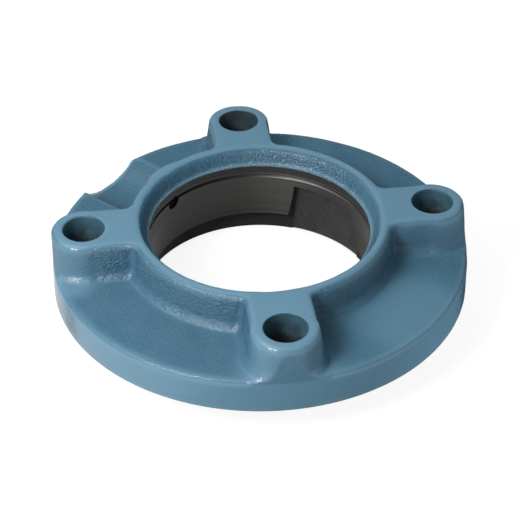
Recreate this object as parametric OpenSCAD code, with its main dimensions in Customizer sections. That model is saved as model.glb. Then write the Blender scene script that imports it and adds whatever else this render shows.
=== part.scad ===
// Round flange cartridge housing for a spherical insert bearing.
// One iron casting: a round mounting flange with a machined pilot below it, a hub above it,
// and four tall bolt bosses whose necks run into the rim of the hub.
// The origin is on the bore axis in the plane of the mounting face; +Z points out of the front.

/* [Flange] */
// Diameter of the flange at the mounting face
flange_d = 165; // [158:0.5:190]
// Thickness of the flange, from the mounting face to its cast top
flange_t = 14; // [11:0.5:17]
// Draft of the outer wall of the flange, in degrees
flange_draft = 1.5; // [0.5:0.1:4]
// Radius of the top edge of the flange
flange_edge_r = 2.2; // [0.6:0.1:3]
// Chamfer where the mounting face meets the outer wall
mount_chamfer = 0.7; // [0.2:0.1:2]

/* [Pilot] */
// Diameter of the machined pilot that centres the housing
pilot_d = 110; // [104:0.5:118]
// Height of the pilot below the mounting face
pilot_h = 12; // [6:0.5:16]
// Chamfer that leads the pilot into its bore
pilot_chamfer = 1.2; // [0.4:0.1:2.5]
// Diameter of the relief bore inside the pilot
relief_d = 96; // [94:0.5:100]

/* [Hub] */
// Height of the rim and of the boss tops above the mounting face
body_h = 28.4; // [24:0.2:36]
// Diameter of the hub at its rim
hub_d = 102.6; // [100:0.2:110]
// Diameter of the mouth where it reaches the rim
mouth_d = 95; // [92:0.5:98]
// Diameter of the ledge at the bottom of the mouth
ledge_d = 88; // [87.2:0.2:91]
// Depth of the ledge below the rim
ledge_depth = 6.9; // [4:0.1:9]
// Radius that rolls the rim over into the mouth
mouth_edge_r = 2; // [0.8:0.1:3]

/* [Bearing seat] */
// Diameter of the spherical seat
seat_d = 90; // [88:0.1:92]
// Height of the centre of the seat above the mounting face
seat_z = 10; // [8:0.5:13]
// Distance from the mounting face down to the lower edge of the seat
seat_drop = 2; // [0.5:0.5:5]
// Height of the middle of the grease groove above the mounting face
groove_z = 16.5; // [14.5:0.1:18]
// Width of the grease groove
groove_w = 1.6; // [0.8:0.1:2.5]
// Depth of the grease groove, out from the largest diameter of the seat
groove_depth = 0.5; // [0.3:0.1:1.6]
// Width of each loading slot at its closed end, for the outer ring of the insert turned on edge
slot_w = 29; // [22:0.5:36]
// Draft of the sides of the loading slots, in degrees
slot_draft = 6; // [0:0.5:10]
// Height of the closed end of the loading slots above the mounting face
slot_top = 12; // [9:0.5:13]
// Diameter across the floors of the two loading slots
slot_d = 97.2; // [92.4:0.4:98.8]
// Direction of the loading slots, in degrees from the first boss
slot_angle = 45; // [30:1:60]

/* [Bolt bosses] */
// Distance from the edge of the flange in to the bolt circle
bolt_edge = 13.5; // [12.5:0.1:16]
// Diameter of the bolt holes
bolt_d = 16; // [10:0.5:18]
// Diameter of a boss at its top
boss_d = 25; // [22:0.5:30]
// Width at the top of the neck from a boss to the hub
neck_w = 24.2; // [18:0.2:24.8]
// Corner radius between a neck and the rim of the hub
corner_r = 5; // [2:0.5:8]

/* [Cast walls] */
// Draft of the hub and boss walls, in degrees
wall_draft = 8; // [4:0.5:11]
// Radius of the edge round the rim and the boss tops
wall_edge_r = 1.2; // [0.5:0.1:2]
// Radius of the fillet where the walls meet the flange
wall_foot_r = 4.5; // [2:0.5:6]

/* [Grease hole] */
// Direction of the grease hole, in degrees from the first boss
grease_angle = 135; // [125:1:145]
// Diameter of the grease hole
grease_d = 6; // [4:0.2:8]
// Height of the grease hole above the mounting face
grease_z = 15; // [14:0.2:18]
// Radius of the swelling of the hub round the grease hole
swell_r = 22; // [16:0.5:28]
// Distance that the swelling stands out of the hub
swell_reach = 1.7; // [0.6:0.1:3]
// Radius of the trough that lets a grease gun reach the hole
trough_r = 21.5; // [16:0.5:26]
// Height of the bottom of the trough above the mounting face
trough_z = 7; // [5:0.5:11]

/* [Hidden] */
$fn = 96;
boss_count = 4;
arc_steps = 3;
foot_steps = 4;
// Cuts run past the faces that they open
cut_over = 1;
// Added forms are rooted in the metal below and behind them
root = 3;
// A cast wall crosses the surface that it meets by this much, so that it never just touches it
bite = 0.15;
flange_r = flange_d / 2;
hub_r = hub_d / 2;
boss_r = boss_d / 2;
seat_r = seat_d / 2;
bolt_circle_r = flange_r - bolt_edge;
mouth_r = mouth_d / 2;
ledge_z = body_h - ledge_depth;
wall_h = body_h - flange_t;
swell_x = hub_r + swell_reach - swell_r;
mouth_slope = atan((mouth_r - ledge_d / 2) / ledge_depth);

// Points of an arc about [x, y], from one angle to another
function arc(x, y, r, from, to, steps) =
    [for (i = [0 : steps]) let (a = from + (to - from) * i / steps) [x + r * cos(a), y + r * sin(a)]];

// Centre, inward from a wall, of the arc that rounds a corner between the wall and a level top
function edge_in(r, draft) = r * (1 - sin(draft)) / cos(draft);

// Section of a cast wall as [distance out, height]: rounded edge, draft, and the fillet at its foot.
// Distances are taken from the place where the drafted wall would meet the level of the rim.
function wall_section(sink) =
    let (
        edge_x = -edge_in(wall_edge_r, wall_draft),
        edge_z = body_h - wall_edge_r,
        foot_x = (wall_h - wall_foot_r + sink) * tan(wall_draft) + wall_foot_r / cos(wall_draft),
        foot_z = flange_t + wall_foot_r - sink
    )
    concat(
        arc(edge_x, edge_z, wall_edge_r, 90, wall_draft, arc_steps),
        arc(foot_x, foot_z, wall_foot_r, 180 + wall_draft, 270, foot_steps)
    );

// The same section carried out from an axis, as the outline of a solid that is rooted in the flange
function rooted_wall(r) =
    let (points = [for (p = wall_section(bite)) [r + p[0], p[1]]], last = points[len(points) - 1])
    concat([[0, body_h]], points, [[last[0], flange_t - root], [0, flange_t - root]]);

// Outline of the pilot, the flange and the hub, from the axis out
function core_outline() =
    let (
        edge_x = flange_r - flange_t * tan(flange_draft) - edge_in(flange_edge_r, flange_draft),
        wall = wall_section(0)
    )
    concat(
        [
            [0, -pilot_h],
            [pilot_d / 2 - pilot_chamfer, -pilot_h],
            [pilot_d / 2, pilot_chamfer - pilot_h],
            [pilot_d / 2, 0],
            [flange_r - mount_chamfer, 0],
            [flange_r - mount_chamfer * tan(flange_draft), mount_chamfer]
        ],
        arc(edge_x, flange_t - flange_edge_r, flange_edge_r, flange_draft, 90, arc_steps),
        [for (i = [len(wall) - 1 : -1 : 0]) [hub_r + wall[i][0], wall[i][1]]],
        [[0, body_h]]
    );

// Pilot, flange and hub as one turned form
module core() {
    rotate_extrude()
        polygon(core_outline());
}

// Corner between the side of a neck and the hub, hollowed by the cast wall turned inside out
module neck_corner() {
    y = neck_w / 2 + corner_r;
    away = hub_r + corner_r;
    x = sqrt(away * away - y * y);
    inner_x = x * (hub_r - root) / away;
    inner_y = y * (hub_r - root) / away;
    hollow = [for (p = wall_section(0)) if (corner_r - p[0] > bite) [corner_r - p[0] + bite, p[1]]];
    difference() {
        translate([0, 0, flange_t - root])
            linear_extrude(wall_h + root)
                polygon([[x, y], [inner_x, inner_y], [inner_x, neck_w / 2 - root], [x, neck_w / 2 - root]]);
        translate([x, y, 0])
            rotate_extrude()
                polygon(concat(
                    [[0, body_h + cut_over], [hollow[0][0], body_h + cut_over]],
                    hollow,
                    [[0, hollow[len(hollow) - 1][1]]]
                ));
    }
}

// Boss at the bolt circle with its neck to the hub
module bolt_boss() {
    half = [for (p = wall_section(bite)) [neck_w / 2 + p[0], p[1]]];
    last = half[len(half) - 1];
    translate([bolt_circle_r, 0, 0])
        rotate_extrude()
            polygon(rooted_wall(boss_r));
    translate([bolt_circle_r, 0, 0])
        rotate([90, 0, -90])
            linear_extrude(bolt_circle_r - hub_r + root)
                polygon(concat(
                    half,
                    [[last[0], flange_t - root], [-last[0], flange_t - root]],
                    [for (i = [len(half) - 1 : -1 : 0]) [-half[i][0], half[i][1]]]
                ));
    neck_corner();
    mirror([0, 1, 0])
        neck_corner();
}

// All bosses, kept within the outer wall of the flange
module bosses() {
    shrink = tan(flange_draft);
    intersection() {
        for (i = [0 : boss_count - 1])
            rotate(i * 360 / boss_count)
                bolt_boss();
        translate([0, 0, flange_t - root - cut_over])
            cylinder(
                h = wall_h + root + 2 * cut_over,
                r1 = flange_r - bite - (flange_t - root - cut_over) * shrink,
                r2 = flange_r - bite - (body_h + cut_over) * shrink
            );
    }
}

// Swelling of the hub wall that gives the grease hole its depth of metal
module grease_swell() {
    slope = tan(wall_draft);
    rotate(grease_angle)
        intersection() {
            translate([swell_x, 0, 0])
                rotate_extrude()
                    polygon([
                        [0, flange_t - root],
                        [swell_r + (wall_h + root) * slope, flange_t - root],
                        [swell_r + wall_edge_r * slope, body_h - wall_edge_r],
                        [swell_r - wall_edge_r / 2, body_h - bite],
                        [0, body_h - bite]
                    ]);
            translate([hub_r - root, -swell_r, 0])
                cube([root + 2 * swell_reach + wall_h, 2 * swell_r, body_h + cut_over]);
        }
}

// Space that the insert bearing lies in: the rolled mouth, the spherical seat and its grease groove
module bearing_space() {
    roll = mouth_edge_r * tan((90 - mouth_slope) / 2);
    rotate_extrude()
        polygon(concat(
            [[0, ledge_z], [ledge_d / 2, ledge_z]],
            arc(mouth_r + roll, body_h - mouth_edge_r, mouth_edge_r, 180 - mouth_slope, 90, arc_steps),
            [[mouth_r + roll, body_h + cut_over], [0, body_h + cut_over]]
        ));
    translate([0, 0, seat_z])
        sphere(seat_r);
    translate([0, 0, groove_z - groove_w / 2])
        cylinder(h = groove_w, r = seat_r + groove_depth);
}

// Relief bore in the pilot and the two slots through which the insert is loaded on edge
module loading_space() {
    slot_h = pilot_h + cut_over + slot_top;
    top = slot_w / 2;
    foot = top + slot_h * tan(slot_draft);
    translate([0, 0, -pilot_h - cut_over])
        cylinder(h = pilot_h + cut_over - seat_drop, d = relief_d);
    intersection() {
        translate([0, 0, -pilot_h - 2 * cut_over])
            cylinder(h = slot_h + 2 * cut_over, d = slot_d);
        rotate(slot_angle)
            translate([-slot_d / 2 - cut_over, 0, slot_top])
                rotate([90, 0, 90])
                    linear_extrude(slot_d + 2 * cut_over)
                        polygon([[-top, 0], [-foot, -slot_h], [foot, -slot_h], [top, 0]]);
    }
}

// Four bolt holes through the bosses and the flange
module bolt_holes() {
    for (i = [0 : boss_count - 1])
        rotate(i * 360 / boss_count)
            translate([bolt_circle_r, 0, -cut_over])
                cylinder(h = body_h + 2 * cut_over, d = bolt_d);
}

// Radial hole from the trough into the grease groove
module grease_hole() {
    rotate(grease_angle)
        translate([0, 0, grease_z])
            rotate([0, 90, 0])
                cylinder(h = flange_r, d = grease_d);
}

// Drafted wall of a round form without its edge and its foot, clear of the real wall by the bite
module plain_wall(r) {
    slope = tan(wall_draft);
    cylinder(h = body_h + cut_over, r1 = r + bite + body_h * slope, r2 = r + bite - cut_over * slope);
}

// Trough across the flange in front of the grease hole, ending at the hub wall
module grease_trough() {
    rotate(grease_angle)
        difference() {
            translate([0, 0, trough_z + trough_r])
                rotate([0, 90, 0])
                    cylinder(h = flange_r + cut_over, r = trough_r);
            plain_wall(hub_r);
            translate([swell_x, 0, 0])
                plain_wall(swell_r);
            translate([0, 0, body_h])
                cylinder(h = trough_z + 2 * trough_r, r = hub_r + swell_reach + bite);
        }
}

// The whole casting with its machining
module housing() {
    color("steelblue")
        difference() {
            union() {
                core();
                bosses();
                grease_swell();
            }
            bearing_space();
            loading_space();
            bolt_holes();
            grease_hole();
            grease_trough();
        }
}

housing();
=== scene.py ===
import math

import bmesh
import bpy
import numpy as np
from mathutils import Matrix, Vector, noise


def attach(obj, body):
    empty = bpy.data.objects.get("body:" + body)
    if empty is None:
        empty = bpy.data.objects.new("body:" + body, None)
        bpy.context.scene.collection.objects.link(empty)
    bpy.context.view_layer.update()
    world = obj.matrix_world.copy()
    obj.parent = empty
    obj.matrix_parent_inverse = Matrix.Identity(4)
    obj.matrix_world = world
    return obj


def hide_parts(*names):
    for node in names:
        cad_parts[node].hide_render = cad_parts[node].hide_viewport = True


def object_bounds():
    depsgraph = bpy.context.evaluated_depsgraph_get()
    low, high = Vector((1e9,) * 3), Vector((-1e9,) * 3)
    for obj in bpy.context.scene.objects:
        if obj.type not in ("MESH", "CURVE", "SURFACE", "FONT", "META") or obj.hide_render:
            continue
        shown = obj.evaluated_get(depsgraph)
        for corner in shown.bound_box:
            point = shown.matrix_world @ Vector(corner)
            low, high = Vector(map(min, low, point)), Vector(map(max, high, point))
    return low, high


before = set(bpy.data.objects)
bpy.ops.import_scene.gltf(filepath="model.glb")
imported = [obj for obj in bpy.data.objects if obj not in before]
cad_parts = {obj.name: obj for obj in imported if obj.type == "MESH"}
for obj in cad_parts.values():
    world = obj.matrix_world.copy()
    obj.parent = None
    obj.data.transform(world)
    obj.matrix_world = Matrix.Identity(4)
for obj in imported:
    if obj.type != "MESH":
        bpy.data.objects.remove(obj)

cad_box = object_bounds()

# Sizes of the housing, in millimetres and degrees; heights are above the mounting face, and a lean is
# the run of a wall per height
MM = 0.001
RIM_Z = round(cad_box[1][2] / MM, 2)
PILOT_Z = round(cad_box[0][2] / MM, 2)
MOUTH_R = 47.5
MOUTH_LEAN = 0.507
MOUTH_FILLET_R = 2.4
LEDGE_Z = 21.5
LEDGE_R = 44.0
SEAT_R = 45.0
SEAT_Z = 10.0
SEAT_LOW_Z = -2.0
GROOVE_Z = 16.5
GROOVE_HALF = 0.8
GROOVE_R = 45.5
GROOVE_LIP = 0.15
GROOVE_ROUND = 0.9
RELIEF_R = 48.0
SLOT_HALF = 14.5
SLOT_DRAFT = 6.0
SLOT_CORNER_R = 1.8
SLOT_TOP_Z = 12.0
SLOT_R = 48.6
SLOT_TURN = 45.0
PILOT_R = 55.0
PILOT_CHAMFER = 1.2
FLANGE_R = 82.5
FLANGE_TOP_Z = 14.0
FLANGE_LEAN = 0.0262
FLANGE_CHAMFER = 0.7
BOLT_CIRCLE_R = 69.0
BOLT_COUNT = 4
BOLT_R = 8.0
BOLT_ROUND = 0.45
GREASE_TURN = 135.0
GREASE_Z = 15.0
GREASE_MOUTH_R = 54.9
THREAD_R = 3.0
THREAD_CORE_R = 2.55
THREAD_PITCH = 1.0
THREAD_SLOPE = 1.5
THREAD_FLAT = 0.25
THREAD_COUNTERSINK = 0.25
THREAD_PLAIN_END = 1.3

# How the casting is made: stock, cuts and cells in millimetres
STOCK = 1.5
THREAD_STOCK = 0.4
THREAD_STOCK_INNER = 1.0
THREAD_STOCK_OUTER = 0.2
OVERCUT = 3.0
THREAD_CUT_INNER = 0.9
THREAD_CUT_OUTER = 0.6
CELL = 0.68
# Distance in metres within which points of the solid's mesh are one
WELD = 1e-6
# Rounds of smoothing, and the share of each pull
SMOOTH_ROUNDS = 12
SMOOTH_PULL = 0.5
SMOOTH_BACK = 0.52
EDGE_ROUNDS = 18
CRISP_ROUNDS = 6
CRISP_SHARE = 0.9
GRAIN_ROUNDS = 4
BODY_ROUNDS = 24
# Height in millimetres that counts as fully raised, and angle from which an edge shows sharp
FULL_LIFT = 0.4
SHARP_ANGLE = 38
# Steps of a full turn, and points of the arcs
FINE_STEPS = 240
COARSE_STEPS = 96
THREAD_STEPS = 40
THREAD_ROWS = 56
SEAT_LOW_STEPS = 20
SEAT_HIGH_STEPS = 8
GROOVE_POINTS = 9
FILLET_POINTS = 7
SLOT_CORNER_POINTS = 6
SLOT_FLOOR_POINTS = 31
BOLT_ROUND_POINTS = 5

# The cast skin: size and height of its slow waves, its lumps and the grain of the sand
WAVE_SIZE = 17
WAVE_HEIGHT = 0.08
LUMP_SIZE = 5.5
LUMP_HEIGHT = 0.05
LUMP_SHIFT = Vector((40, 0, 0))
GRAIN_SIZE = 1.9
GRAIN_HEIGHT = 0.05
GRAIN_SHIFT = Vector((0, 40, 0))

# How much smoother or rougher than the hub wall each kind of place came out of the sand
LEVEL_SMOOTHER = 0.5
TOPS_SMOOTHER = 0.7
WALL_SMOOTHER = 0.85
MOUTH_ROUGHER = 0.25
# Share of a place's size within which it has its full effect
NEAR_CORE = 0.4
# Places where the mould was smoother: turn, distance from the axis, size, share
SMOOTH_PATCHES = [
    (-90, 76, 26, 0.7),
    (-45, 74, 34, 0.45),
    (2, 76, 26, 0.55),
    (190, 78, 16, 0.6),
    (0, 47, 26, 0.6),
]
# Turns at which the outer wall of the flange stayed rough, how far each such place reaches, and its share
ROUGH_WALLS = [-14, -168]
ROUGH_WALL_REACH = 24.0
ROUGH_WALL_SHARE = 0.55

# Camera, matched to the photograph
CAMERA_TURN = -97.65
CAMERA_REACH = 0.49676
CAMERA_HEIGHT = 0.39089
CAMERA_AIM = Vector((0.0, 0.0, 0.00603))
CAMERA_LENS = 108.43
CAMERA_SENSOR = 36

# Materials of the casting, in the order of its slots
PAINT, HOLE_PAINT, BORED, AS_CAST, RELIEF, FACED = range(6)

# Colours of the enamel
ENAMEL_DARK = (0.064, 0.157, 0.228, 1)
ENAMEL_LIGHT = (0.081, 0.180, 0.255, 1)
ENAMEL_SMOOTH = (0.128, 0.258, 0.356, 1)
ENAMEL_HIGHLIGHT = (0.150, 0.282, 0.374, 1)
ENAMEL_HOLLOW_SHADE = (0.057, 0.150, 0.230, 1)
ENAMEL_PIT_SHADE = (0.036, 0.112, 0.184, 1)
ENAMEL_LEDGE_HIGHLIGHT = (0.170, 0.300, 0.380, 1)
MIST_THIN = (0.035, 0.088, 0.120, 1)
MIST_THICK = (0.058, 0.128, 0.168, 1)

# Colours of the iron
DRILLED_DARK = (0.022, 0.024, 0.026, 1)
DRILLED_LIGHT = (0.044, 0.043, 0.041, 1)
BORED_SHADE_DARK = (0.064, 0.063, 0.061, 1)
BORED_SHADE_LIGHT = (0.080, 0.078, 0.075, 1)
BORED_SHEEN_DARK = (0.102, 0.101, 0.096, 1)
BORED_SHEEN_LIGHT = (0.127, 0.125, 0.119, 1)
UPPER_BAND_SHADE = (0.026, 0.026, 0.027, 1)
FAR_RIGHT_SHADE = (0.020, 0.019, 0.019, 1)
GROOVE_SHADE = (0.012, 0.012, 0.012, 1)
LIP_HIGHLIGHT = (0.26, 0.25, 0.24, 1)
SLOT_DARK = (0.027, 0.026, 0.026, 1)
SLOT_LIGHT = (0.053, 0.050, 0.047, 1)
SLOT_GLINT = (0.14, 0.125, 0.11, 1)
SLOT_TOP_SHADE = (0.009, 0.009, 0.009, 1)
RELIEF_SHADE_DARK = (0.012, 0.012, 0.013, 1)
RELIEF_SHADE_LIGHT = (0.024, 0.023, 0.022, 1)
FACED_DARK = (0.36, 0.35, 0.335, 1)
FACED_LIGHT = (0.50, 0.485, 0.465, 1)

# Colours of the studio
WHITE = (1, 1, 1, 1)
BLACK = (0, 0, 0, 1)
FLOOR_GREY = (0.5, 0.5, 0.5, 1)
FLOOR_SHADOW = (0.17, 0.17, 0.17, 1)
FLOOR_GLOW_TINT = (0.9, 0.95, 1, 1)
LAMP_WHITE = (1, 1, 1)
LAMP_COOL = (0.86, 0.93, 1.0)
AMBIENT = 0.15
FLOOR_HALF = 3.0


# Forms

def seat_radius(z):
    return math.sqrt(SEAT_R ** 2 - (z - SEAT_Z) ** 2)


def seat_arc(low, high, steps):
    heights = np.linspace(low, high, steps + 1)
    return [(seat_radius(z), z) for z in heights]


def grease_groove():
    """Outline of the groove between its two edges: rounded, as a form tool leaves it."""
    low = GROOVE_Z - GROOVE_HALF
    high = GROOVE_Z + GROOVE_HALF
    edge = seat_radius(GROOVE_Z) + GROOVE_LIP
    depth = GROOVE_R - edge
    rise = GROOVE_ROUND * GROOVE_HALF
    turns = np.linspace(-math.pi / 2, math.pi / 2, GROOVE_POINTS)[1:-1]
    floor = [(edge + depth * math.cos(a), GROOVE_Z + rise * math.sin(a)) for a in turns]
    return [(seat_radius(low) + GROOVE_LIP, low)] + floor + [(seat_radius(high) + GROOVE_LIP, high)]


def rod(radius, low, high):
    """Outline of a plain round bar."""
    return [(0, low), (radius, low), (radius, high), (0, high)]


def closed_form(form, finish):
    bmesh.ops.recalc_face_normals(form, faces=form.faces)
    for face in form.faces:
        face.material_index = finish
    return form


def turned_form(outline, steps, finish=PAINT):
    """A closed form turned about Z from an outline of (radius, height) that starts and ends on the axis."""
    form = bmesh.new()
    rings = []
    for r, z in outline:
        count = 1 if r == 0 else steps
        turns = [math.tau * i / count for i in range(count)]
        rings.append([form.verts.new((r * math.cos(a), r * math.sin(a), z)) for a in turns])
    for low, high in zip(rings, rings[1:]):
        for i in range(steps):
            j = (i + 1) % steps
            corners = [low[i % len(low)], low[j % len(low)], high[j % len(high)], high[i % len(high)]]
            form.faces.new(list(dict.fromkeys(corners)))
    return closed_form(form, finish)


def lofted_form(outlines, finish):
    """A closed form through outlines that have the same number of points, flat at both ends."""
    form = bmesh.new()
    rings = [[form.verts.new(point) for point in outline] for outline in outlines]
    form.faces.new(rings[0][::-1])
    form.faces.new(rings[-1])
    for low, high in zip(rings, rings[1:]):
        for i in range(len(low)):
            j = (i + 1) % len(low)
            form.faces.new((low[i], low[j], high[j], high[i]))
    return closed_form(form, finish)


def moved(form, place):
    bmesh.ops.transform(form, verts=form.verts, matrix=place)
    return form


def about_axis(turn, out=0.0):
    return Matrix.Rotation(math.radians(turn), 4, "Z") @ Matrix.Translation((out, 0, 0))


def along_grease_hole():
    outwards = Matrix.Rotation(math.pi / 2, 4, "Y")
    return about_axis(GREASE_TURN) @ Matrix.Translation((0, 0, GREASE_Z)) @ outwards


def bolt_places():
    return [about_axis(360 * i / BOLT_COUNT, BOLT_CIRCLE_R) for i in range(BOLT_COUNT)]


def slot_outline(half, z):
    """Outline of a loading slot at one height: straight sides, cast corners and a round floor."""
    rise = half - SLOT_CORNER_R
    out = math.sqrt((SLOT_R - SLOT_CORNER_R) ** 2 - rise ** 2)
    end = math.atan2(rise, out)
    corner = [(out + SLOT_CORNER_R * math.cos(a), rise + SLOT_CORNER_R * math.sin(a))
              for a in np.linspace(math.pi / 2, end, SLOT_CORNER_POINTS)]
    floor = [(SLOT_R * math.cos(a), SLOT_R * math.sin(a))
             for a in np.linspace(end, -end, SLOT_FLOOR_POINTS)[1:-1]]
    other = [(x, -y) for x, y in reversed(corner)]
    start = SEAT_R / 2
    return [(x, y, z) for x, y in [(start, half)] + corner + floor + other + [(start, -half)]]


def slot_form(low, high, finish):
    """A loading slot as a closed form, wider towards its open foot."""
    flare = (high - low) * math.tan(math.radians(SLOT_DRAFT))
    return lofted_form([slot_outline(SLOT_HALF + flare, low), slot_outline(SLOT_HALF, high)], finish)


def thread_radius(x, turn):
    """Radius of the grease hole at a distance from the bore axis and a share of a full turn."""
    ridge = abs(2 * ((x / THREAD_PITCH - turn) % 1) - 1)
    flank = min(1, max(0, THREAD_SLOPE * ridge - THREAD_FLAT))
    thread = THREAD_CORE_R + (THREAD_R - THREAD_CORE_R) * flank
    countersink = THREAD_R + x - GREASE_MOUTH_R + THREAD_COUNTERSINK
    plain_end = THREAD_R - max(0, x - SEAT_R - THREAD_PLAIN_END)
    return max(thread, countersink, plain_end)


def tapped_hole():
    """Cutter of the grease hole: a plain inner end, a thread, and a countersink at its mouth."""
    inner = SEAT_R - THREAD_CUT_INNER
    outer = GREASE_MOUTH_R + THREAD_CUT_OUTER
    turns = [i / THREAD_STEPS for i in range(THREAD_STEPS)]
    rings = []
    for k in range(THREAD_ROWS + 1):
        x = inner + (outer - inner) * k / THREAD_ROWS
        radii = [thread_radius(x, turn) for turn in turns]
        rings.append([(r * math.cos(turn * math.tau), r * math.sin(turn * math.tau), x)
                      for r, turn in zip(radii, turns)])
    return moved(lofted_form(rings, BORED), along_grease_hole())


def machining_stock():
    """Metal that the casting has before it is bored, faced and drilled."""
    half = (math.pi / 2 - math.atan(MOUTH_LEAN)) / 2
    start = LEDGE_R - MOUTH_FILLET_R * math.tan(half)
    mouth = [(start + MOUTH_FILLET_R * math.sin(a), LEDGE_Z + MOUTH_FILLET_R * (1 - math.cos(a)))
             for a in np.linspace(2 * half, 0, FILLET_POINTS)]
    foot_z = PILOT_Z - STOCK
    bore_plug = [(0, foot_z), (RELIEF_R + STOCK, foot_z), (RELIEF_R + STOCK, mouth[0][1])]
    yield turned_form(bore_plug + mouth + [(0, LEDGE_Z)], FINE_STEPS)

    low = -2 * STOCK
    high = 2 * STOCK
    low_r = FLANGE_R - low * FLANGE_LEAN
    high_r = FLANGE_R - high * FLANGE_LEAN
    yield turned_form([(0, low), (low_r, low), (high_r, high), (0, high)], FINE_STEPS)
    yield turned_form(rod(PILOT_R + STOCK, foot_z, high), FINE_STEPS)

    for place in bolt_places():
        yield moved(turned_form(rod(BOLT_R + STOCK, low, RIM_Z), COARSE_STEPS), place)
    inner = SEAT_R - THREAD_STOCK_INNER
    outer = GREASE_MOUTH_R - THREAD_STOCK_OUTER
    grease_plug = turned_form(rod(THREAD_R + THREAD_STOCK, inner, outer), COARSE_STEPS)
    yield moved(grease_plug, along_grease_hole())


def machining_cuts():
    """What the machining takes off the casting, each cut with the finish that it leaves."""
    low = PILOT_Z - OVERCUT
    high = RIM_Z + OVERCUT
    bore = [(0, low), (seat_radius(SEAT_LOW_Z), low)]
    bore += seat_arc(SEAT_LOW_Z, GROOVE_Z - GROOVE_HALF - GROOVE_LIP, SEAT_LOW_STEPS)
    bore += grease_groove()
    bore += seat_arc(GROOVE_Z + GROOVE_HALF + GROOVE_LIP, LEDGE_Z, SEAT_HIGH_STEPS)
    bore += [(seat_radius(LEDGE_Z), high), (0, high)]
    yield turned_form(bore, FINE_STEPS, BORED)
    yield turned_form(rod(RELIEF_R, low, SEAT_LOW_Z), FINE_STEPS, RELIEF)

    for turn in (SLOT_TURN, SLOT_TURN + 180):
        yield moved(slot_form(low, SLOT_TOP_Z, AS_CAST), about_axis(turn))

    rim_r = FLANGE_R + OVERCUT
    base = [(0, low), (rim_r, low), (rim_r, FLANGE_CHAMFER + OVERCUT)]
    base += [(FLANGE_R - FLANGE_CHAMFER, 0), (PILOT_R, 0)]
    base += [(PILOT_R, PILOT_Z + PILOT_CHAMFER), (PILOT_R - PILOT_CHAMFER, PILOT_Z), (0, PILOT_Z)]
    yield turned_form(base, FINE_STEPS, FACED)

    edge = [(BOLT_R + BOLT_ROUND * (1 - math.cos(a)), RIM_Z - BOLT_ROUND * (1 - math.sin(a)))
            for a in np.linspace(0, math.pi / 2, BOLT_ROUND_POINTS)]
    hole = [(0, low), (BOLT_R, low)] + edge + [(BOLT_R + BOLT_ROUND, high), (0, high)]
    for place in bolt_places():
        yield moved(turned_form(hole, COARSE_STEPS, HOLE_PAINT), place)
    yield tapped_hole()


# Meshes

def as_object(form, name):
    """The form, given in millimetres, as an object of the scene in metres."""
    bmesh.ops.scale(form, verts=form.verts, vec=(MM, MM, MM))
    mesh = bpy.data.meshes.new(name)
    form.to_mesh(mesh)
    form.free()
    made = bpy.data.objects.new(name, mesh)
    bpy.context.collection.objects.link(made)
    return made


def apply_modifiers(piece):
    """Makes what the modifiers of the piece give its own mesh."""
    graph = bpy.context.evaluated_depsgraph_get()
    mesh = bpy.data.meshes.new_from_object(piece.evaluated_get(graph))
    piece.modifiers.clear()
    old = piece.data
    piece.data = mesh
    bpy.data.meshes.remove(old)


def add_form(target, form):
    hold = bpy.data.meshes.new("stock")
    form.to_mesh(hold)
    form.free()
    target.from_mesh(hold)
    bpy.data.meshes.remove(hold)


def points_of(mesh):
    """Points of the mesh, in millimetres."""
    points = np.zeros(3 * len(mesh.vertices))
    mesh.vertices.foreach_get("co", points)
    return points.reshape(-1, 3) / MM


def normals_of(mesh):
    normals = np.zeros(3 * len(mesh.vertices))
    mesh.vertex_normals.foreach_get("vector", normals)
    return normals.reshape(-1, 3)


def place_points(mesh, points):
    mesh.vertices.foreach_set("co", (points * MM).ravel())
    mesh.update()


class Skin:
    """Smooths the points of a mesh towards their neighbours."""

    def __init__(self, mesh):
        ends = np.zeros(2 * len(mesh.edges), np.int64)
        mesh.edges.foreach_get("vertices", ends)
        self.a, self.b = ends.reshape(-1, 2).T
        self.count = len(mesh.vertices)
        self.shares = np.bincount(ends, minlength=self.count)

    def neighbour_sum(self, values):
        onto_a = np.bincount(self.a, values[self.b], self.count)
        onto_b = np.bincount(self.b, values[self.a], self.count)
        return onto_a + onto_b

    def pull(self, points):
        sums = np.array([self.neighbour_sum(axis) for axis in points.T]).T
        return sums / self.shares[:, None] - points

    def relaxed(self, points, rounds, back=0.0):
        """The points after some rounds of smoothing; a push back after each round keeps their bulk."""
        for _ in range(rounds):
            points = points + SMOOTH_PULL * self.pull(points)
            points = points - back * self.pull(points)
        return points


def ramp(values, start, end):
    """The values eased from 0 at the start to 1 at the end."""
    t = np.clip((values - start) / (end - start), 0, 1)
    return t * t * (3 - 2 * t)


def near(points, turn, reach, size):
    """1 at a place given by its turn and its distance from the axis, falling to 0 at the size."""
    turn = math.radians(turn)
    away = np.hypot(points[:, 0] - reach * math.cos(turn), points[:, 1] - reach * math.sin(turn))
    return 1 - ramp(away, NEAR_CORE * size, size)


def standing_out(points, soft, normals):
    """How far each point stands out of its smoothed form."""
    return np.einsum("ij,ij->i", points - soft, normals)


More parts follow.
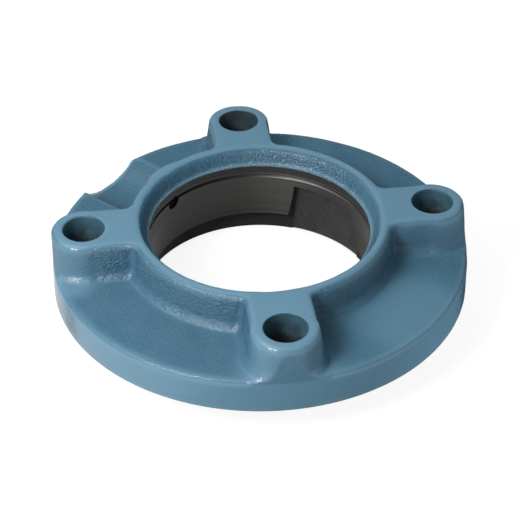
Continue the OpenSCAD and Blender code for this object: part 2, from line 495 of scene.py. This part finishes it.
def sand_roughness(points, normals):
    """How rough the sand left each place: most in the mouth and on the hub wall, least on the level tops
    and the outer wall of the flange."""
    x, y, z = points.T
    out = np.hypot(x, y)
    level = ramp(normals[:, 2], 0.75, 0.97)
    tops = level * ramp(z, RIM_Z - 3, RIM_Z - 1)
    wall = ramp(out, FLANGE_R - 3, FLANGE_R - 1) * (1 - ramp(z, FLANGE_TOP_Z - 1.5, FLANGE_TOP_Z))
    mouth = (1 - ramp(out, MOUTH_R, MOUTH_R + 2)) * (1 - level)
    for turn in ROUGH_WALLS:
        wall *= 1 - ROUGH_WALL_SHARE * near(points, turn, FLANGE_R, ROUGH_WALL_REACH)
    rough = (1 - LEVEL_SMOOTHER * level) * (1 - TOPS_SMOOTHER * tops)
    rough *= (1 - WALL_SMOOTHER * wall) * (1 + MOUTH_ROUGHER * mouth)
    for turn, reach, size, share in SMOOTH_PATCHES:
        rough *= 1 - share * near(points, turn, reach, size)
    return rough


def cast_relief(points, roughness):
    """Height of the cast skin over the pattern: a slow waviness, soft lumps and the grain of the sand."""
    height = np.zeros(len(points))
    for i, point in enumerate(points):
        at = Vector(point)
        wave = WAVE_HEIGHT * noise.noise(at / WAVE_SIZE)
        lump = LUMP_HEIGHT * noise.noise(at / LUMP_SIZE + LUMP_SHIFT)
        grain = GRAIN_HEIGHT * noise.noise(at / GRAIN_SIZE + GRAIN_SHIFT)
        height[i] = wave + roughness[i] * (lump + grain)
    return height


def rounded_edges(points, normals, skin):
    """The points with the upper edges of the rim and the bosses, on the front side, rounded further."""
    soft = skin.relaxed(points, EDGE_ROUNDS)
    facing = skin.relaxed(normals, GRAIN_ROUNDS)[:, 1]
    share = ramp(standing_out(points, soft, normals), 0.03, 0.25)
    share *= ramp(points[:, 2], RIM_Z - 7, RIM_Z - 4) * ramp(facing, 0.1, -0.25)
    return points + share[:, None] * (soft - points)


def crisp_flange(points, normals, skin):
    """The points with the upper edge of the flange brought back to the crisp edge of the pattern."""
    soft = skin.relaxed(points, CRISP_ROUNDS)
    out = np.hypot(points[:, 0], points[:, 1])
    off_top = np.abs(points[:, 2] - FLANGE_TOP_Z)
    share = ramp(standing_out(points, soft, normals), 0.02, 0.12)
    share *= ramp(out, FLANGE_R - 5, FLANGE_R - 3) * ramp(off_top, 3.5, 2)
    return points + CRISP_SHARE * share[:, None] * (points - soft)


def cast_housing():
    """The housing as it leaves the sand, with its machining stock on it."""
    form = bmesh.new()
    form.from_mesh(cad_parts["housing"].data)
    bmesh.ops.remove_doubles(form, verts=form.verts, dist=WELD)
    bmesh.ops.scale(form, verts=form.verts, vec=(1 / MM, 1 / MM, 1 / MM))
    for stock in machining_stock():
        add_form(form, stock)
    casting = as_object(form, "housing_casting")
    remesh = casting.modifiers.new("sand_skin", "REMESH")
    remesh.mode = "VOXEL"
    remesh.voxel_size = CELL * MM
    apply_modifiers(casting)

    mesh = casting.data
    skin = Skin(mesh)
    points = skin.relaxed(points_of(mesh), SMOOTH_ROUNDS, SMOOTH_BACK)
    place_points(mesh, points)
    points = rounded_edges(points, normals_of(mesh), skin)
    points = crisp_flange(points, normals_of(mesh), skin)
    place_points(mesh, points)
    normals = normals_of(mesh)
    roughness = sand_roughness(points, normals)
    points = points + normals * cast_relief(points, roughness)[:, None]
    place_points(mesh, points)
    return casting


def machined(casting, finishes):
    """Cuts the casting to its machined form; the walls of each cut get the cut's own finish."""
    for finish in finishes:
        casting.data.materials.append(finish)
    for form in machining_cuts():
        cutter = as_object(form, "cutter")
        for finish in finishes:
            cutter.data.materials.append(finish)
        cut = casting.modifiers.new("cut", "BOOLEAN")
        cut.operation = "DIFFERENCE"
        cut.solver = "MANIFOLD"
        cut.material_mode = "INDEX"
        cut.object = cutter
        apply_modifiers(casting)
        bpy.data.objects.remove(cutter)


def mark_skin(mesh):
    """Keeps, for the materials, how rough each place is and how far it stands out of the form round it."""
    points = points_of(mesh)
    normals = normals_of(mesh)
    skin = Skin(mesh)
    body = skin.relaxed(points, GRAIN_ROUNDS)
    lift = standing_out(body, skin.relaxed(body, BODY_ROUNDS), normals)
    marks = {"sand": sand_roughness(points, normals), "lift": np.clip(lift / FULL_LIFT, -1, 1)}
    for name, values in marks.items():
        kept = mesh.attributes.new(name, "FLOAT", "POINT")
        kept.data.foreach_set("value", values.astype(np.float32))


# Nodes

def feed(tree, node, key, value):
    """Gives an input of the node a constant, or the output of another node."""
    if isinstance(value, bpy.types.NodeSocket):
        tree.links.new(value, node.inputs[key])
    else:
        node.inputs[key].default_value = value


def add_node(tree, kind, values=None, **settings):
    made = tree.nodes.new(kind)
    for key, value in settings.items():
        setattr(made, key, value)
    for key, value in (values or {}).items():
        feed(tree, made, key, value)
    return made


def reckon(tree, operation, *values):
    return add_node(tree, "ShaderNodeMath", dict(enumerate(values)), operation=operation).outputs[0]


def times(tree, first, *others):
    for other in others:
        first = reckon(tree, "MULTIPLY", first, other)
    return first


def most(tree, first, *others):
    for other in others:
        first = reckon(tree, "MAXIMUM", first, other)
    return first


def gap(tree, first, second):
    """How far apart two values are."""
    return reckon(tree, "ABSOLUTE", reckon(tree, "SUBTRACT", first, second))


def spread(tree, value, low, high, to_low=0.0, to_high=1.0):
    """The value eased from one range to another and kept within it."""
    ranges = {"Value": value, "From Min": low, "From Max": high, "To Min": to_low, "To Max": to_high}
    return add_node(tree, "ShaderNodeMapRange", ranges, interpolation_type="SMOOTHSTEP").outputs["Result"]


def blend(tree, share, first, second):
    """A colour between two others."""
    return add_node(tree, "ShaderNodeMix", {0: share, 6: first, 7: second}, data_type="RGBA").outputs[2]


def between(tree, share, first, second):
    """A value between two others."""
    return add_node(tree, "ShaderNodeMix", {0: share, 2: first, 3: second}, data_type="FLOAT").outputs[0]


def vector_step(tree, operation, values):
    return add_node(tree, "ShaderNodeVectorMath", values, operation=operation)


def parts_of(tree, vector):
    return add_node(tree, "ShaderNodeSeparateXYZ", {0: vector}).outputs


def level_part(tree, parts):
    """The part of a place that is left when its height is taken away."""
    return add_node(tree, "ShaderNodeCombineXYZ", {0: parts["X"], 1: parts["Y"]}).outputs[0]


def cloud(tree, place, scale, detail, roughness=0.5):
    values = {"Vector": place, "Scale": scale, "Detail": detail, "Roughness": roughness}
    return add_node(tree, "ShaderNodeTexNoise", values).outputs["Fac"]


def bump(tree, height, distance):
    values = {"Height": height, "Distance": distance, "Strength": 1.0}
    return add_node(tree, "ShaderNodeBump", values).outputs[0]


def new_group(name, inputs, outputs):
    group = bpy.data.node_groups.new(name, "ShaderNodeTree")
    for label, kind, start in inputs:
        socket = group.interface.new_socket(label, in_out="INPUT", socket_type=kind)
        if start is not None:
            socket.default_value = start
    for label, kind in outputs:
        group.interface.new_socket(label, in_out="OUTPUT", socket_type=kind)
    return group, group.nodes.new("NodeGroupInput").outputs, group.nodes.new("NodeGroupOutput").inputs


def place_group(tree, group, values):
    return add_node(tree, "ShaderNodeGroup", values, node_tree=group).outputs


def cast_grain_group():
    """Grain that the moulding sand leaves, with its sizes in millimetres."""
    inputs = [
        ("Place", "NodeSocketVector", None),
        ("Grain", "NodeSocketFloat", 1.0),
        ("Patch", "NodeSocketFloat", 9.0),
    ]
    outputs = [("Height", "NodeSocketFloat"), ("Peak", "NodeSocketFloat"), ("Mottle", "NodeSocketFloat")]
    group, given, result = new_group("cast_grain", inputs, outputs)
    place = vector_step(group, "SCALE", {0: given["Place"], "Scale": 1 / MM}).outputs[0]
    fine = reckon(group, "DIVIDE", 1.0, given["Grain"])
    cells = {"Vector": place, "Scale": fine, "Smoothness": 0.6}
    pebble = add_node(group, "ShaderNodeTexVoronoi", cells, feature="SMOOTH_F1").outputs["Distance"]
    round_top = reckon(group, "SUBTRACT", 1.0, pebble)
    rough = cloud(group, place, times(group, fine, 1.3), 3.0, 0.6)
    height = reckon(group, "ADD", times(group, round_top, 0.6), times(group, rough, 0.7))
    group.links.new(height, result["Height"])
    group.links.new(spread(group, height, 0.75, 0.98), result["Peak"])
    mottle = cloud(group, place, reckon(group, "DIVIDE", 1.0, given["Patch"]), 4.0, 0.65)
    group.links.new(spread(group, mottle, 0.25, 0.75), result["Mottle"])
    return group


def tool_marks_group():
    """Rings that a tool point leaves: along the bore, or across a face, by Facing."""
    inputs = [
        ("Place", "NodeSocketVector", None),
        ("Feed", "NodeSocketFloat", 0.3),
        ("Facing", "NodeSocketFloat", 0.0),
    ]
    outputs = [("Height", "NodeSocketFloat"), ("Streak", "NodeSocketFloat")]
    group, given, result = new_group("tool_marks", inputs, outputs)
    parts = parts_of(group, given["Place"])
    flat = level_part(group, parts)
    out = vector_step(group, "LENGTH", {0: flat}).outputs["Value"]
    aim = parts_of(group, vector_step(group, "NORMALIZE", {0: flat}).outputs[0])
    run = between(group, given["Facing"], parts["Z"], out)
    steps = reckon(group, "DIVIDE", times(group, run, 1 / MM), given["Feed"])
    ring = add_node(group, "ShaderNodeCombineXYZ", {0: aim["X"], 1: aim["Y"], 2: steps}).outputs[0]
    group.links.new(cloud(group, ring, 1.0, 2.0), result["Height"])
    wide = vector_step(group, "MULTIPLY", {0: ring, 1: (0.5, 0.5, 0.2)}).outputs[0]
    group.links.new(spread(group, cloud(group, wide, 1.0, 3.0), 0.3, 0.7), result["Streak"])
    return group


# Materials

def new_material(name):
    material = bpy.data.materials.new(name)
    material.use_nodes = True
    tree = material.node_tree
    place = add_node(tree, "ShaderNodeTexCoord").outputs["Object"]
    return material, tree, tree.nodes["Principled BSDF"], place


def kept_mark(tree, name):
    return add_node(tree, "ShaderNodeAttribute", attribute_name=name).outputs["Fac"]


def blue_enamel(grain):
    """Blue enamel over the sand-cast skin, with painted shade in the grain's pits, in hollows and on rough
    places, and a painted highlight on raised edges, on grain tops and low in the mouth."""
    material, tree, shader, place = new_material("blue_enamel")
    sand = kept_mark(tree, "sand")
    lift = kept_mark(tree, "lift")
    coarse = place_group(tree, grain, {"Place": place, "Grain": 0.95, "Patch": 11.0})
    fine = place_group(tree, grain, {"Place": place, "Grain": 0.45, "Patch": 3.0})

    colour = blend(tree, coarse["Mottle"], ENAMEL_DARK, ENAMEL_LIGHT)
    # Rough places keep darker colours than smooth ones: painted shade of the grain's small hollows.
    smooth = spread(tree, sand, 0.5, 0.12)
    colour = blend(tree, smooth, colour, ENAMEL_SMOOTH)
    # Lighter where the form stands out: a painted highlight on the edges.
    edge_highlight = spread(tree, lift, 0.1, 0.8, 0.0, 0.45)
    colour = blend(tree, edge_highlight, colour, ENAMEL_HIGHLIGHT)
    # Darker in hollows and fillets: painted shade.
    hollow_shade = spread(tree, lift, -0.1, -0.8, 0.0, 0.4)
    colour = blend(tree, hollow_shade, colour, ENAMEL_HOLLOW_SHADE)
    # Where the sand is rough, the grain's low spots are darkened and its tops lightened: painted shade and
    # painted highlight in the grain.
    gritty = reckon(tree, "POWER", reckon(tree, "MINIMUM", sand, 1.1), 2.0)
    pit_shade = times(tree, spread(tree, coarse["Height"], 0.9, 0.65, 0.0, 0.6), gritty)
    colour = blend(tree, pit_shade, colour, ENAMEL_PIT_SHADE)
    grain_highlight = times(tree, spread(tree, coarse["Height"], 0.88, 1.1, 0.0, 0.5), gritty)
    colour = blend(tree, grain_highlight, colour, ENAMEL_HIGHLIGHT)

    # A lighter band low in the mouth, just above the ledge: a painted highlight along the mouth's foot
    parts = parts_of(tree, place)
    out = vector_step(tree, "LENGTH", {0: level_part(tree, parts)}).outputs["Value"]
    in_mouth = spread(tree, out, (MOUTH_R + 0.5) * MM, (MOUTH_R - 1) * MM)
    low_down = spread(tree, parts["Z"], (LEDGE_Z + 2.2) * MM, (LEDGE_Z + 0.6) * MM, 0.0, 0.6)
    colour = blend(tree, times(tree, in_mouth, low_down), colour, ENAMEL_LEDGE_HIGHLIGHT)
    feed(tree, shader, "Base Color", colour)
    feed(tree, shader, "Roughness", spread(tree, fine["Mottle"], 0.0, 1.0, 0.10, 0.18))

    # Paint that fills the grain where the form bends and where the sand is roughest
    at_bends = spread(tree, reckon(tree, "ABSOLUTE", lift), 0.05, 0.6, 1.0, 0.45)
    at_roughest = spread(tree, sand, 1.05, 1.2, 1.1, 0.7)
    depth = times(tree, sand, times(tree, at_bends, at_roughest))
    height = reckon(tree, "ADD", coarse["Height"], times(tree, fine["Height"], 0.35))
    feed(tree, shader, "Normal", bump(tree, times(tree, height, depth), 0.6 * MM))
    return material


def hole_mist(grain):
    """Thin mist of the enamel on the drilled walls of the bolt holes, with dark bare iron further down and
    in the hole at the back;
    the darkening further down is also painted shade deep in the holes."""
    material, tree, shader, place = new_material("hole_mist")
    skin = place_group(tree, grain, {"Place": place, "Grain": 0.8, "Patch": 6.0})
    mist = blend(tree, skin["Mottle"], MIST_THIN, MIST_THICK)
    iron = blend(tree, skin["Mottle"], DRILLED_DARK, DRILLED_LIGHT)
    parts = parts_of(tree, place)
    # Darker further down the holes: bare iron, and painted shade.
    ragged = reckon(tree, "ADD", parts["Z"], times(tree, skin["Mottle"], 5 * MM))
    deep = spread(tree, ragged, RIM_Z * MM, (RIM_Z - 13) * MM)
    at_back = spread(tree, parts["Y"], (BOLT_CIRCLE_R - 17) * MM, (BOLT_CIRCLE_R - 3) * MM, 0.0, 0.7)
    feed(tree, shader, "Base Color", blend(tree, most(tree, deep, at_back), mist, iron))
    feed(tree, shader, "Roughness", spread(tree, skin["Mottle"], 0.0, 1.0, 0.35, 0.5))
    feed(tree, shader, "Normal", bump(tree, skin["Height"], 0.06 * MM))
    return material


def bored_iron(marks):
    """Iron as the boring bar left it, with a painted sheen towards the right, painted shade above the
    groove, in the groove and on the far right, and painted highlights on the groove's lips."""
    material, tree, shader, place = new_material("bored_iron")
    rings = place_group(tree, marks, {"Place": place, "Feed": 0.35, "Facing": 0.0})
    parts = parts_of(tree, place)
    # Darker on the left and lighter towards the right: a painted sheen.
    shaded_left = blend(tree, rings["Streak"], BORED_SHADE_DARK, BORED_SHADE_LIGHT)
    sheen_right = blend(tree, rings["Streak"], BORED_SHEEN_DARK, BORED_SHEEN_LIGHT)
    colour = blend(tree, spread(tree, parts["X"], -8 * MM, 20 * MM), shaded_left, sheen_right)
    # Darker above the groove: painted shade under the mouth.
    upper_shade = spread(tree, parts["Z"], (GROOVE_Z + 1) * MM, (GROOVE_Z + 2.5) * MM, 0.0, 0.6)
    colour = blend(tree, upper_shade, colour, UPPER_BAND_SHADE)

    # Darker in the groove, more towards the right: painted shade on its floor.
    off_groove = gap(tree, parts["Z"], GROOVE_Z * MM)
    in_groove = spread(tree, off_groove, GROOVE_HALF * MM, 0.6 * GROOVE_HALF * MM)
    painted_shade = times(tree, in_groove, spread(tree, parts["X"], 0.0, 15 * MM, 0.0, 0.5))
    colour = blend(tree, painted_shade, colour, GROOVE_SHADE)
    # Lighter on the groove's lips towards the right: painted highlights.
    off_lip = gap(tree, off_groove, (GROOVE_HALF + GROOVE_LIP) * MM)
    at_lip = spread(tree, off_lip, 0.5 * MM, 0.15 * MM)
    lip_highlight = times(tree, at_lip, spread(tree, parts["X"], 2 * MM, 18 * MM, 0.0, 0.8))
    colour = blend(tree, lip_highlight, colour, LIP_HIGHLIGHT)

    # Darker on the far right of the bore: painted shade.
    far_right = spread(tree, parts["X"], 15 * MM, 42 * MM, 0.0, 0.55)
    feed(tree, shader, "Base Color", blend(tree, far_right, colour, FAR_RIGHT_SHADE))
    feed(tree, shader, "Metallic", 0.9)
    feed(tree, shader, "Roughness", spread(tree, rings["Streak"], 0.0, 1.0, 0.34, 0.46))
    feed(tree, shader, "Normal", bump(tree, rings["Height"], 0.02 * MM))
    return material


def slot_iron(grain):
    """Bare cast skin on the floors of the loading slots, with painted shade at their closed ends."""
    material, tree, shader, place = new_material("slot_iron")
    skin = place_group(tree, grain, {"Place": place, "Grain": 0.9, "Patch": 5.0})
    colour = blend(tree, skin["Mottle"], SLOT_DARK, SLOT_LIGHT)
    colour = blend(tree, times(tree, skin["Peak"], 0.6), colour, SLOT_GLINT)
    # Darker just under the slot's top: painted shade.
    rise = parts_of(tree, place)["Z"]
    painted_shade = spread(tree, rise, (SLOT_TOP_Z - 4) * MM, (SLOT_TOP_Z - 0.5) * MM, 0.0, 0.8)
    feed(tree, shader, "Base Color", blend(tree, painted_shade, colour, SLOT_TOP_SHADE))
    feed(tree, shader, "Metallic", 0.3)
    feed(tree, shader, "Roughness", spread(tree, skin["Mottle"], 0.0, 1.0, 0.5, 0.65))
    feed(tree, shader, "Normal", bump(tree, skin["Height"], 0.12 * MM))
    return material


def relief_shaded_iron(grain):
    """Iron inside the pilot, below the seat, painted near black: painted shade under the seat's overhang.
    """
    material, tree, shader, place = new_material("relief_shaded_iron")
    skin = place_group(tree, grain, {"Place": place, "Grain": 1.1, "Patch": 7.0})
    feed(tree, shader, "Base Color", blend(tree, skin["Mottle"], RELIEF_SHADE_DARK, RELIEF_SHADE_LIGHT))
    feed(tree, shader, "Roughness", spread(tree, skin["Mottle"], 0.0, 1.0, 0.6, 0.75))
    feed(tree, shader, "Specular IOR Level", 0.25)
    feed(tree, shader, "Normal", bump(tree, skin["Height"], 0.15 * MM))
    return material


def faced_iron(marks):
    """Iron faced and turned on the mounting side."""
    material, tree, shader, place = new_material("faced_iron")
    across = place_group(tree, marks, {"Place": place, "Feed": 0.4, "Facing": 1.0})
    along = place_group(tree, marks, {"Place": place, "Feed": 0.4, "Facing": 0.0})
    normal = add_node(tree, "ShaderNodeTexCoord").outputs["Normal"]
    upright = reckon(tree, "ABSOLUTE", parts_of(tree, normal)["Z"])
    on_face = reckon(tree, "GREATER_THAN", upright, 0.7)
    height = between(tree, on_face, along["Height"], across["Height"])
    feed(tree, shader, "Base Color", blend(tree, across["Streak"], FACED_DARK, FACED_LIGHT))
    feed(tree, shader, "Metallic", 0.6)
    feed(tree, shader, "Roughness", spread(tree, across["Streak"], 0.0, 1.0, 0.3, 0.44))
    feed(tree, shader, "Normal", bump(tree, height, 0.02 * MM))
    return material


def white_floor():
    """White floor that takes the shadow of the housing; in mirrors it is dark close to the housing, on the
    right and behind, and brighter on the left, in the bore and under the flange."""
    material = bpy.data.materials.new("white_floor")
    material.use_nodes = True
    tree = material.node_tree
    tree.nodes.remove(tree.nodes["Principled BSDF"])
    path = add_node(tree, "ShaderNodeLightPath").outputs
    spot = add_node(tree, "ShaderNodeTexCoord").outputs["Object"]
    parts = parts_of(tree, spot)
    away = vector_step(tree, "LENGTH", {0: spot}).outputs["Value"]
    reach = FLANGE_R * MM
    in_bore = spread(tree, away, PILOT_R * MM, RELIEF_R * MM)
    past_pilot = spread(tree, away, (PILOT_R + 3) * MM, (PILOT_R + 11) * MM)

    far_off = spread(tree, away, 1.5 * reach, 3.2 * reach, 0.02, 1.0)
    in_front = spread(tree, parts["Y"], 0.0, reach, 1.0, 0.12)
    on_left = spread(tree, parts["X"], -0.3 * reach, -0.9 * reach, 0.0, 0.8)
    under_flange = spread(tree, away, reach, 0.9 * reach, 0.0, 0.6)
    shade = most(tree, times(tree, far_off, in_front), on_left, times(tree, in_bore, 0.6), under_flange)
    shade = most(tree, shade, path["Is Camera Ray"])

    distance_glow = spread(tree, away, 0.3, 1.2, 0.9, 1.0)
    glow = times(tree, most(tree, in_bore, past_pilot), distance_glow, shade)
    glow = add_node(tree, "ShaderNodeEmission", {"Color": WHITE, "Strength": glow}).outputs[0]
    shadowed = blend(tree, shade, BLACK, FLOOR_SHADOW)
    shadowed = add_node(tree, "ShaderNodeBsdfDiffuse", {"Color": shadowed}).outputs[0]
    shown = add_node(tree, "ShaderNodeAddShader", {0: shadowed, 1: glow}).outputs[0]

    # The floor on the right glows for the light it sends up to the housing: painted bounce light from a
    # floor that is no lamp.
    on_right = spread(tree, parts["X"], 0.4 * reach, reach, 0.0, 1.5)
    bounce = times(tree, on_right, spread(tree, away, 3 * reach, 2 * reach))
    floor_glow = add_node(tree, "ShaderNodeEmission", {"Color": FLOOR_GLOW_TINT, "Strength": bounce}).outputs[0]
    grey = add_node(tree, "ShaderNodeBsdfDiffuse", {"Color": FLOOR_GREY}).outputs[0]
    lighting = add_node(tree, "ShaderNodeAddShader", {0: grey, 1: floor_glow}).outputs[0]

    seen = most(tree, path["Is Camera Ray"], path["Is Glossy Ray"], path["Is Transmission Ray"])
    above = add_node(tree, "ShaderNodeMixShader", {0: seen, 1: lighting, 2: shown}).outputs[0]
    below = add_node(tree, "ShaderNodeNewGeometry").outputs["Backfacing"]
    clear = add_node(tree, "ShaderNodeBsdfTransparent").outputs[0]
    one_sided = add_node(tree, "ShaderNodeMixShader", {0: below, 1: above, 2: clear}).outputs[0]
    tree.links.new(one_sided, tree.nodes["Material Output"].inputs["Surface"])
    return material


# Studio

def add_camera():
    data = bpy.data.cameras.new("photo_camera")
    data.lens = CAMERA_LENS
    data.sensor_width = CAMERA_SENSOR
    camera = bpy.data.objects.new("photo_camera", data)
    bpy.context.collection.objects.link(camera)
    turn = math.radians(CAMERA_TURN)
    camera.location = (CAMERA_REACH * math.cos(turn), CAMERA_REACH * math.sin(turn), CAMERA_HEIGHT)
    camera.rotation_euler = (CAMERA_AIM - camera.location).to_track_quat("-Z", "Y").to_euler()
    bpy.context.scene.camera = camera


def add_softbox(name, turn, rise, distance, size, level, colour=LAMP_WHITE, mirrored=True):
    """A softbox that gives a surface facing it the level, where 1 shows a colour as it is written."""
    data = bpy.data.lights.new(name, "AREA")
    data.size = size
    data.color = colour
    data.energy = level * (math.pi * distance) ** 2
    lamp = bpy.data.objects.new(name, data)
    lamp.visible_glossy = mirrored
    bpy.context.collection.objects.link(lamp)
    flat = distance * math.cos(math.radians(rise))
    turn = math.radians(turn)
    lamp.location = (flat * math.cos(turn), flat * math.sin(turn), distance * math.sin(math.radians(rise)))
    lamp.rotation_euler = (-lamp.location).to_track_quat("-Z", "Y").to_euler()


def add_surroundings():
    """White behind the housing, an even ambient light, and for mirrors a room that is darker above, on the
    right and at the back."""
    world = bpy.data.worlds.new("studio")
    bpy.context.scene.world = world
    world.use_nodes = True
    tree = world.node_tree
    path = add_node(tree, "ShaderNodeLightPath").outputs
    way = parts_of(tree, add_node(tree, "ShaderNodeTexCoord").outputs["Generated"])
    above = spread(tree, way["Z"], 0.04, 0.28, 1.0, 0.22)
    on_right = spread(tree, way["X"], -0.1, 0.7, 1.0, 0.4)
    at_back = spread(tree, way["Y"], -0.1, 0.5, 1.0, 0.12)
    room = times(tree, above, on_right, at_back)
    mirrored = most(tree, path["Is Glossy Ray"], path["Is Transmission Ray"])
    level = most(tree, between(tree, mirrored, AMBIENT, room), path["Is Camera Ray"])
    background = tree.nodes["Background"]
    feed(tree, background, "Color", WHITE)
    feed(tree, background, "Strength", level)


def add_floor():
    form = bmesh.new()
    half = FLOOR_HALF / MM
    corners = [(-half, -half), (half, -half), (half, half), (-half, half)]
    form.faces.new([form.verts.new((x, y, PILOT_Z)) for x, y in corners])
    floor = as_object(form, "floor")
    floor.data.materials.append(white_floor())


add_camera()
grain = cast_grain_group()
marks = tool_marks_group()
housing = cast_housing()
machined(housing, [
    blue_enamel(grain),
    hole_mist(grain),
    bored_iron(marks),
    slot_iron(grain),
    relief_shaded_iron(grain),
    faced_iron(marks),
])
mark_skin(housing.data)
housing.data.shade_smooth()
housing.data.set_sharp_from_angle(angle=math.radians(SHARP_ANGLE))
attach(housing, "root")
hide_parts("housing")

add_floor()
add_surroundings()
add_softbox("key", turn=-139, rise=42, distance=0.55, size=0.3, level=0.1, mirrored=False)
add_softbox("key_core", turn=-139, rise=43, distance=0.52, size=0.15, level=0.64)
add_softbox("key_low", turn=-135, rise=16, distance=0.55, size=0.1, level=0.09)
add_softbox("overhead", turn=-172, rise=60, distance=0.6, size=0.45, level=0.36)
add_softbox("right_fill", turn=-15, rise=12, distance=0.9, size=0.6, level=0.17, colour=LAMP_COOL,
            mirrored=False)
add_softbox("back_fill", turn=85, rise=30, distance=0.9, size=0.6, level=0.32, mirrored=False)
bpy.context.scene.view_settings.view_transform = "Standard"
